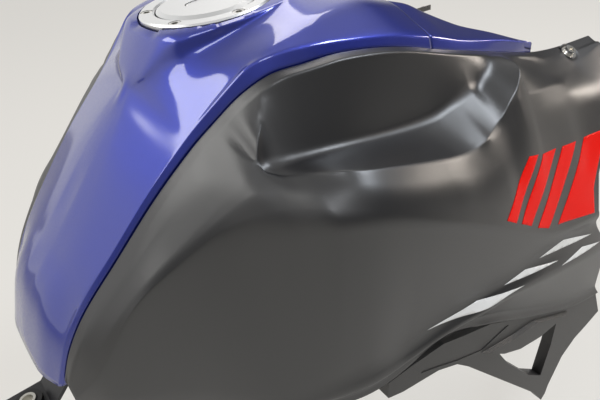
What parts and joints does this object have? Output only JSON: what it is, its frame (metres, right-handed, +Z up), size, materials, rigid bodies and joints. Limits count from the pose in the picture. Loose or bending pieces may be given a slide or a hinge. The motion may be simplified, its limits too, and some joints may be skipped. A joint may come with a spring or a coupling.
{
  "type": "motorcycle fuel tank with covers",
  "caption": "Steel motorcycle fuel tank under a painted centre cover, with two cover arms, scooped side panels, open lower trims and a hinged filler lid.",
  "frame": {"origin": "centre of the rear mounting sleeve, on its bolt's axis", "axes": "+X forward along the motorcycle, +Y to the rider's left, +Z up"},
  "size_m": [0.627, 0.4196, 0.5332],
  "materials": {
    "blue_paint": "metallic blue paint under clear coat",
    "matte_panel": "matte dark grey moulding",
    "grained_trim": "finely grained black moulding",
    "bolt_steel": "bright plated",
    "tank_steel": "black paint",
    "ring_alloy": "satin",
    "lid_alloy": "satin",
    "lock_metal": "polished",
    "rubber": "matte black",
    "pump_plastic": "black",
    "bracket_zinc": "zinc plated"
  },
  "bodies": {
    "root": {"centre_cover": "blue_paint", "cover_arm_right": "blue_paint", "cover_arm_left": "blue_paint", "side_panel_right": "matte_panel", "side_panel_left": "matte_panel", "lower_trim_right": "grained_trim", "lower_trim_left": "grained_trim", "panel_bolts": "bolt_steel", "fuel_tank": "tank_steel", "filler_neck": "tank_steel", "filler_ring": "ring_alloy", "ring_screws": "bolt_steel", "hinge_pin": "bolt_steel", "rear_bracket": "tank_steel", "front_lugs": "tank_steel", "pump_plate": "pump_plastic", "pump_ring": "bracket_zinc", "pump_screws": "bolt_steel", "fuel_outlet": "pump_plastic", "breather_stub": "bracket_zinc", "rear_grommet": "rubber", "rear_sleeve": "bracket_zinc", "front_right_grommet": "rubber", "front_right_sleeve": "bracket_zinc", "front_left_grommet": "rubber", "front_left_sleeve": "bracket_zinc", "panel_stay_right": "tank_steel", "stay_puck_right": "rubber", "panel_stay_left": "tank_steel", "stay_puck_left": "rubber"},
    "filler_lid": {"filler_lid": "lid_alloy", "lid_seal": "rubber", "lock_barrel": "lock_metal", "key_pin": "bolt_steel"},
    "key_cover": {"key_cover": "lid_alloy"}
  },
  "joints": [
    {"name": "lid_hinge", "type": "hinge", "parent": "root", "child": "filler_lid", "pos_m": [0.26707, 0, 0.26792], "axis": [0, 1, 0], "range_deg": [0, 95]},
    {"name": "key_cover_hinge", "type": "hinge", "parent": "filler_lid", "child": "key_cover", "pos_m": [0.2294, 0, 0.26805], "axis": [0, 1, 0], "range_deg": [0, 100]}
  ]
}
